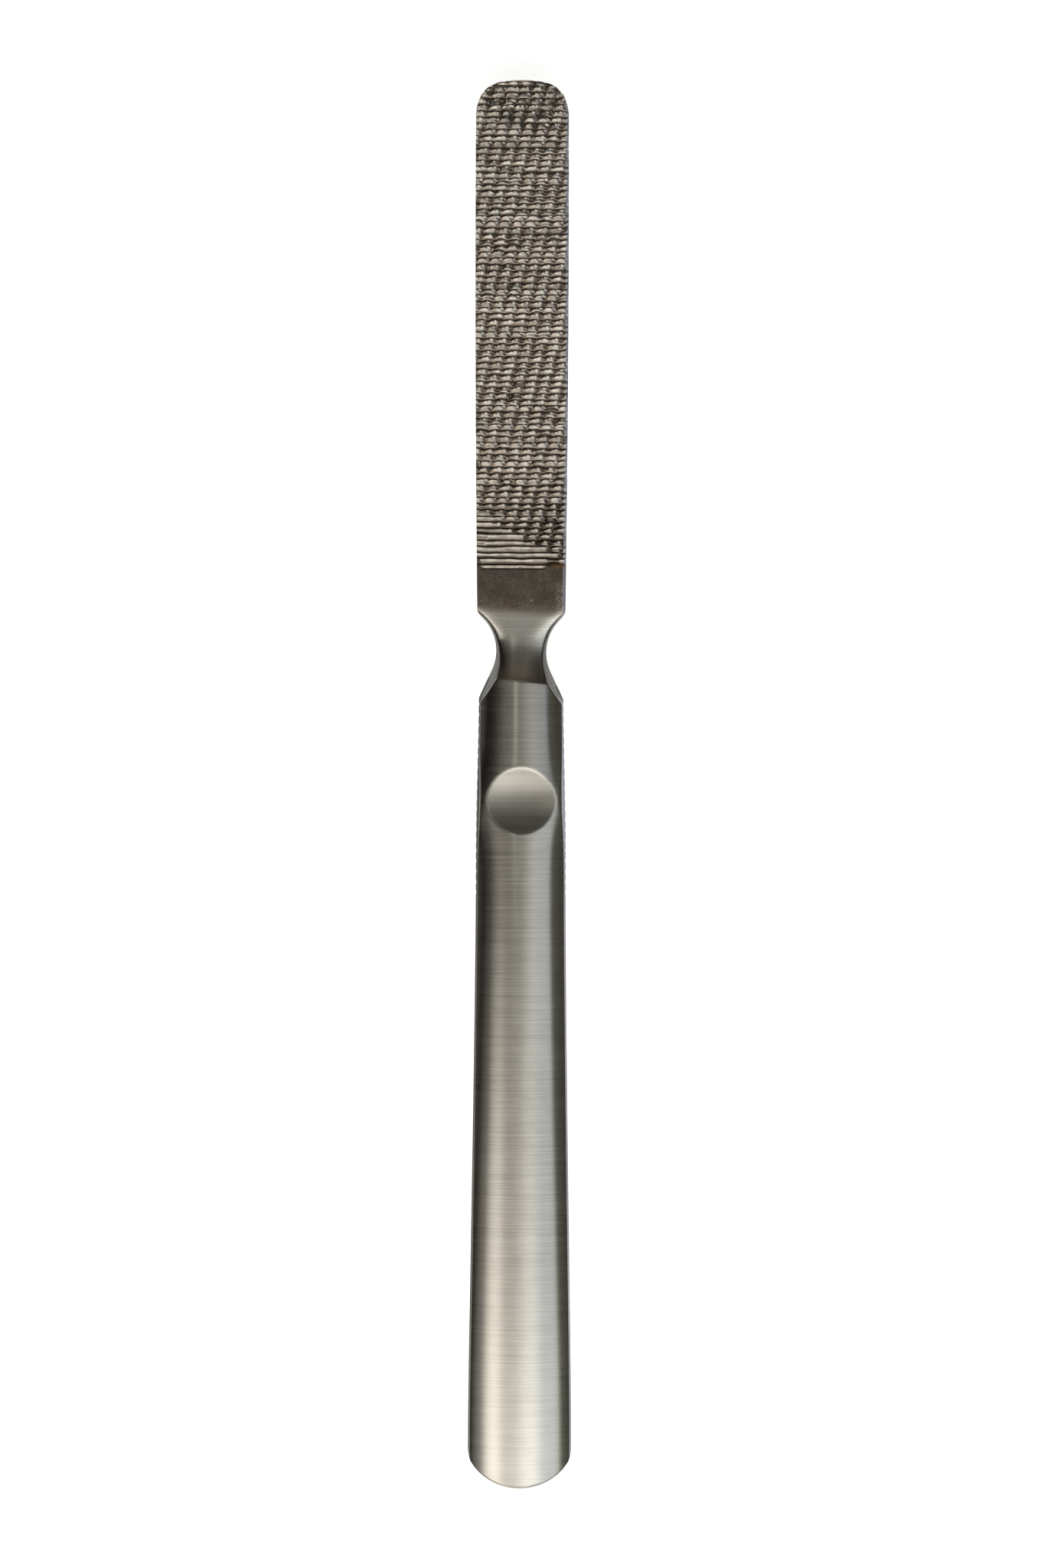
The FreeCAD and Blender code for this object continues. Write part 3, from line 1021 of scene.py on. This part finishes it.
def blade_face(rows, shares, cut, pitch, arch=None):
    """One face of the blade as a grid of points, over a middle plane at height 0."""
    rows = rows[:, None]
    tilt = mouth_tilt * neck_half_width(shares, rows) * (1 - ramp(*MOUTH_LEAN, rows))
    y = rows - tilt * shares
    half_width = neck_half_width(shares, y)
    x = half_width * shares
    y = y + tip_bow(x, y)
    depth = cut(x, y) * ramp(*CUT_START, y)
    height = blade_height(x, y, half_width, depth, edge_size * ramp(neck_floor_y, ricasso_end_y, y))
    free = ramp(*WANDER_START, y) * (1 - ramp(*WANDER_END, y))
    moved = y + row_wander(x, y, pitch) * free
    if arch:
        moved = moved - arch(x, y) * (ramp(*ARCH_START, y) * ramp(*ARCH_END, rows))
    return np.stack([x, moved, height], axis=-1)


print(f"ricasso ends {2 * neck_half_width(0, ricasso_end_y):.2f} mm wide")

# %% Make the blade
front_columns = 165
back_columns = 65
spare_rows = 12
plug_scale = 0.78
plug_end_y = 6.0
MIRRORED = np.array([1, 1, -1])


def make_blade():
    count = int((tip_turn_y - first_row_y) / up_pitch) * len(FRONT_PHASES) + spare_rows
    front_cut = cut_rows(first_row_y, up_pitch, FRONT_PHASES, count)
    back_cut = cut_rows(cut_end_y, fine_pitch, BACK_PHASES, count)
    front_rows = np.concatenate([plain_rows(first_row_y), front_cut])
    back_rows = np.concatenate([plain_rows(cut_end_y), back_cut])
    front = blade_face(front_rows, column_shares(front_columns), double_cut, up_pitch, arch_fall)
    back = blade_face(back_rows, column_shares(back_columns), fine_cut, fine_pitch) * MIRRORED
    rings = np.concatenate([front, back[:, ::-1]], axis=1)
    plug_top = rings[:1] * (plug_scale, 1, plug_scale)
    plug_end = plug_top * (1, 0, 1) + np.array([0, plug_end_y, 0])
    rings = np.concatenate([plug_end, plug_top, rings])
    points, faces = skin_rings(rings, flip=True)
    make_piece("toothed_blade", points, faces, blade_finish, "file_blade")


make_blade()

# %% [markdown]
# Each half of the handle is a sheet with a wall. Its outside is a grid over the plan: close rows where
# the notches and the dimple are, long ones down the plain grip, and rows that bow to the round of the
# butt. The notches are filed straight down through the edge, so points beyond a notch's floor are
# moved back to it and keep their height. Cutting them with booleans would break the even grid.

# %% Rows and edges of the handle
weld_half_height = 0.4
close_start_y = shoulder_y - 0.4
grip_start_y = -16.5
grip_end_y = -88.0
mouth_rows = 48
close_rows = 262
grip_rows = 50
butt_rows = 40
SEAM_CHANGE = (shoulder_y - 0.2, shoulder_y + 0.6)
butt_corner = 0.3
notch_count = 19
notch_pitch = 1.486
notch_first_y = shoulder_y - 0.9
notch_half_width = 0.42
notch_depth = 0.07


def shell_rows():
    """Places of the grid's rows, from the mouth to the turn of the butt."""
    closing = 1 - (1 - np.linspace(0, 1, butt_rows)) ** 2
    return np.concatenate([
        np.linspace(mouth_y, close_start_y, mouth_rows)[:-1],
        np.linspace(close_start_y, grip_start_y, close_rows)[:-1],
        np.linspace(grip_start_y, grip_end_y, grip_rows)[:-1],
        grip_end_y + (butt_turn_y - grip_end_y) * closing,
    ])


def seam_inset(y):
    """How far in from the outline the edge of the weld lies."""
    radius = side_radius(y)
    oval = radius - circle_run(weld_half_height, radius)
    flank = weld_half_height * slant_run(y)
    return between(oval, flank, ramp(*SEAM_CHANGE, y))


def outline_half_width(side, y):
    """Half the width of the whole handle on one side, with the flare and the butt."""
    sides = np.minimum(handle_half_width(y), waist_half_width_at(side, y))
    return lower_of(sides, butt_half_width(y), butt_corner)


def notch_at(y):
    """Depth of the grip notches at a place along the handle."""
    number = np.clip(np.round((notch_first_y - y) / notch_pitch), 0, notch_count - 1)
    offset = np.abs(y - (notch_first_y - number * notch_pitch))
    return notch_depth * (1 - ramp(0.0, notch_half_width, offset))


print(f"{len(shell_rows())} rows along the handle, {notch_count} notches on each side")

# %% Make the handle shells
shell_wall = 1.0
shell_columns = 129
inner_columns = 9
butt_inset = 0.04
MOUTH_SLANT = (shoulder_y - 1, mouth_y)
BUTT_BOW = (butt_turn_y + 10, butt_turn_y)


def shell_outside():
    """The grid of points on the outside of the front shell."""
    rows = shell_rows()[:, None]
    shares = np.sin(np.linspace(-math.pi / 2, math.pi / 2, shell_columns))
    reach = mouth_tilt * outline_half_width(shares, rows) * shares
    y = rows - reach * ramp(*MOUTH_SLANT, rows)
    x = (outline_half_width(shares, y) - seam_inset(y)) * shares
    end = butt_centre_y - circle_run(x, butt_end_radius - butt_inset)
    y = y + (end - butt_turn_y) * ramp(*BUTT_BOW, y)
    height = np.maximum(handle_height(x, y), weld_half_height)
    height[:, [0, -1]] = weld_half_height
    height[-1] = weld_half_height
    floor = handle_half_width(y) - notch_at(y)
    x = np.sign(x) * np.minimum(np.abs(x), floor)
    return np.stack([x, y, height], axis=-1)


def shell_inside(outside):
    """A coarse grid inside the outside one, a wall's thickness further in."""
    picked = outside[:, np.linspace(0, shell_columns - 1, inner_columns).astype(int)]
    inward = 1 - shell_wall / handle_half_width(picked[..., 1])
    thinner = 1 - shell_wall / handle_half_thickness
    shorter = 1 - shell_wall / (mouth_y - butt_y)
    length = mouth_y + (picked[..., 1] - mouth_y) * shorter
    length[0] = picked[0, :, 1]
    return np.stack([picked[..., 0] * inward, length, picked[..., 2] * thinner], axis=-1)


outside = shell_outside()
inside = shell_inside(outside)
points, faces = walled_sheet(outside, inside, flip=True)
make_piece("front_shell", points, faces, shell_finish, "handle_front_shell")
points, faces = walled_sheet(outside * MIRRORED, inside * MIRRORED)
make_piece("back_shell", points, faces, shell_finish, "handle_back_shell")

# %% [markdown]
# The weld fills the seam between the shells and is dressed round. A bevelled curve could draw it, but
# it is swept along the shells' own border, so it meets them exactly and dips with the notches. The
# braze at the mouth is a hairline ring between the neck and the shells, taken from the shells' first
# row.

# %% Make the weld
weld_depth = 0.6
weld_inner_half = 0.3
weld_columns = 7
weld_bulge = 0.3
least_bulge = 0.005


def make_weld():
    border = np.concatenate([outside[:, 0], outside[-1, 1:-1], outside[::-1, -1]])
    along = np.gradient(border[:, :2], axis=0)
    outward = np.stack([along[:, 1], -along[:, 0]], axis=1)
    outward /= np.linalg.norm(outward, axis=1, keepdims=True)
    bulge = np.minimum(seam_inset(border[:, 1]), weld_bulge)
    bulge = np.where(border[:, 1] < butt_turn_y, butt_inset, bulge)
    bulge = np.minimum(bulge, np.maximum(bulge - notch_at(border[:, 1]), 0.0) + least_bulge)
    rings = []
    for turn in np.linspace(math.pi / 2, -math.pi / 2, weld_columns):
        plan = border[:, :2] + outward * (bulge * math.cos(turn))[:, None]
        rings.append(np.column_stack([plan, np.full(len(plan), weld_half_height * math.sin(turn))]))
    for height in (-weld_inner_half, weld_inner_half):
        plan = border[:, :2] - outward * weld_depth
        rings.append(np.column_stack([plan, np.full(len(plan), height)]))
    points, faces = skin_rings(np.stack(rings, axis=1))
    make_piece("seam_bead", points, faces, weld_finish, "seam_weld")


make_weld()

# %% Make the braze
braze_width = 0.05
braze_depth = 0.25
braze_proud = 0.003


def make_braze():
    mouth = outside[0]
    loop = np.concatenate([mouth, mouth[::-1] * MIRRORED])
    size = np.hypot(loop[:, 0], loop[:, 2])[:, None]
    outer = loop + loop * (1, 0, 1) * braze_proud / size
    inner = loop - loop * (1, 0, 1) * braze_depth / size
    shift = np.array([0, braze_width / 2, 0])
    rings = np.stack([outer - shift, outer + shift, inner + shift, inner - shift])
    points, faces = skin_rings(rings, closed=True)
    make_piece("mouth_ring", points, faces, braze_finish, "mouth_braze")


make_braze()

# %% [markdown]
# The file lies on a pale floor. Its picture has a white ground. More light would give that too, and
# would bleach the steel, so the floor glows a little for rays from the camera and for reflections, and
# still takes the file's shadow.

# %% Lay the floor
floor_half = 2.0
FLOOR_WHITE = colour(0.86, 0.86, 0.86)
SEEN_BY = ("Is Camera Ray", "Is Glossy Ray", "Is Transmission Ray")


def stage_sheet(name, low, high, height, material):
    """A flat sheet that belongs to the studio."""
    mesh = bpy.data.meshes.new(name)
    corners = [(low[0], low[1]), (high[0], low[1]), (high[0], high[1]), (low[0], high[1])]
    mesh.from_pydata([(x, y, height) for x, y in corners], [], [(0, 1, 2, 3)])
    mesh.materials.append(material)
    sheet = bpy.data.objects.new(name, mesh)
    bpy.context.scene.collection.objects.link(sheet)
    return sheet


def floor_finish():
    material, graph = start_material("studio_floor")
    camera_ray, glossy_ray, clear_ray = [graph.node("LightPath", output=name) for name in SEEN_BY]
    seen = camera_ray.larger(glossy_ray.larger(clear_ray))
    paint = graph.node("BsdfDiffuse", {}, {"Color": FLOOR_WHITE})
    glow = graph.node("Emission", {}, {"Color": FLOOR_WHITE, "Strength": 1.0})
    both = graph.node("AddShader", {}, {0: paint, 1: glow})
    shown = graph.node("MixShader", {}, {0: seen, 1: paint, 2: both})
    graph.node("OutputMaterial", {}, {"Surface": shown})
    return material


stage_sheet("floor", (-floor_half, -floor_half), (floor_half, floor_half), 0, floor_finish())
print(f"floor {2 * floor_half} m square")

# %% [markdown]
# One low softbox hangs over the file and is hidden from the camera, which looks through it. The long
# stripes on the handle are its reflections: a lit middle that ends on a slant at the right, a separate
# panel with a long tail at the left, a dark valley over the dimple, a thin strip near the shoulder,
# and more light towards the butt. Several lamps could give the stripes, but one graded sheet lets each
# of them fade where it should. Round it the room is dark.

# %% Hang the softbox
lamp_height = 0.25
LAMP_LOW = (-0.70, -0.70)
LAMP_HIGH = (0.60, 0.42)
right_slant = 0.25
right_slant_y = -60
RIGHT_END = (350, 280)
RIGHT_DIM = (70, 180)
LEFT_END = (-70, -185)
WARM_END = (-120, 20)
COOL_START = (60, 150)
GREEN_START = (290, 350)
LIGHT_WARM = colour(1.0, 0.955, 0.865)
LIGHT_PLAIN = colour(1.0, 0.985, 0.92)
LIGHT_COOL = colour(0.93, 0.97, 1.0)
LIGHT_GREEN = colour(0.96, 1.0, 0.78)


def lamp_level(x, y):
    """How bright the softbox is at a place, in millimetres across and along the file."""
    def patch(strength, across=(), along=()):
        """Light of some strength that rises or falls over steps across and along."""
        fades = [x.step(*fade) for fade in across] + [y.step(*fade) for fade in along]
        for fade in fades:
            strength = fade * strength
        return strength

    left = patch(0.74, across=[(-340, -205)]) + patch(0.22, across=[(-640, -300)])
    left_along = patch(0.62, along=[(-29, -65)]) + patch(0.50, along=[(-55, -110)])
    left_along = left_along + patch(1.30, along=[(-118, -160)])
    middle = patch(0.60, across=[(-240, -40)]) + patch(0.40, across=[(-40, 60)])
    valley = 1 - patch(0.88, across=[(-230, -110), (120, 20)], along=[(3, -9), (-58, -14)])
    dimmed = 1 - (0.05 + patch(0.33, along=[(-60, -120)])) * x.step(*RIGHT_DIM)
    right = (x + right_slant * (y - right_slant_y)).step(*RIGHT_END) * dimmed
    far = 0.10 - patch(0.06, across=[(40, 140)], along=[(50, 110)])
    along = far + patch(0.72, along=[(70, -25)]) + patch(0.02, along=[(-5, -60)])
    along = along + patch(1.55, along=[(-110, -160)])
    fill = patch(0.28, across=[(-200, -90), (60, -10)], along=[(-115, -155)])
    butt = patch(0.15, across=[(-260, -200), (300, 220)], along=[(-138, -160)])
    beyond = 1 - patch(0.48, along=[(-160, -195)])
    strip = 0.10 + patch(0.65, along=[(80, 50)])
    strip = patch(strip, across=[(-58, -50), (-30, -38)], along=[(-5, 15)])
    level = left * x.step(*LEFT_END) * left_along + middle * valley * right * along + fill + butt
    return level * beyond + strip + patch(0.09, across=[(280, 360)])


def lamp_finish():
    material, graph = start_material("softbox")
    x, y = place_mm(graph).split()[:2]
    warm = x.step(*WARM_END).blend(LIGHT_WARM, LIGHT_PLAIN)
    cool = x.step(*COOL_START).blend(warm, LIGHT_COOL)
    tint = x.step(*GREEN_START).blend(cool, LIGHT_GREEN)
    shade = graph.node("VectorMath", {"operation": "SCALE"}, {0: tint, "Scale": lamp_level(x, y)})
    glow = graph.node("Emission", {}, {"Color": shade, "Strength": 1.0})
    graph.node("OutputMaterial", {}, {"Surface": glow})
    return material


softbox = stage_sheet("softbox", LAMP_LOW, LAMP_HIGH, lamp_height, lamp_finish())
softbox.visible_camera = False
print(f"softbox {lamp_height} m over the floor")

# %% Darken the room
ROOM = colour(0.064, 0.058, 0.051)
world = bpy.data.worlds.new("dark_room")
bpy.context.scene.world = world
world.use_nodes = True
world.node_tree.nodes["Background"].inputs["Color"].default_value = ROOM
world.node_tree.nodes["Background"].inputs["Strength"].default_value = 1.0
print("room colour", ROOM[:3])

# %% [markdown]
# The picture is taken straight from above, with the file upright in a tall frame and turned by a hair.
# A camera without perspective would come close, but at half a metre a lens shows the slight spread of
# a real picture. The lens follows from the distance and the height of the frame.

# %% Set the camera
camera_distance = 0.50
frame_height = 0.22284
FRAME_CENTRE = (-0.00028, 0.00016)
frame_roll = math.radians(0.13)
sensor_height = 36
camera_data = bpy.data.cameras.new("camera")
camera_data.sensor_fit = "VERTICAL"
camera_data.sensor_height = sensor_height
camera_data.lens = sensor_height * camera_distance / frame_height
camera = bpy.data.objects.new("camera", camera_data)
bpy.context.scene.collection.objects.link(camera)
camera.location = (*FRAME_CENTRE, middle_z * MM + camera_distance)
camera.rotation_euler = (0, 0, frame_roll)
bpy.context.scene.camera = camera
bpy.context.scene.view_settings.view_transform = "Standard"
print(f"camera {camera_distance} m over the file, lens {camera_data.lens:.1f} mm")

# %% [markdown]
# A dressed part has to keep the size of its CAD model.
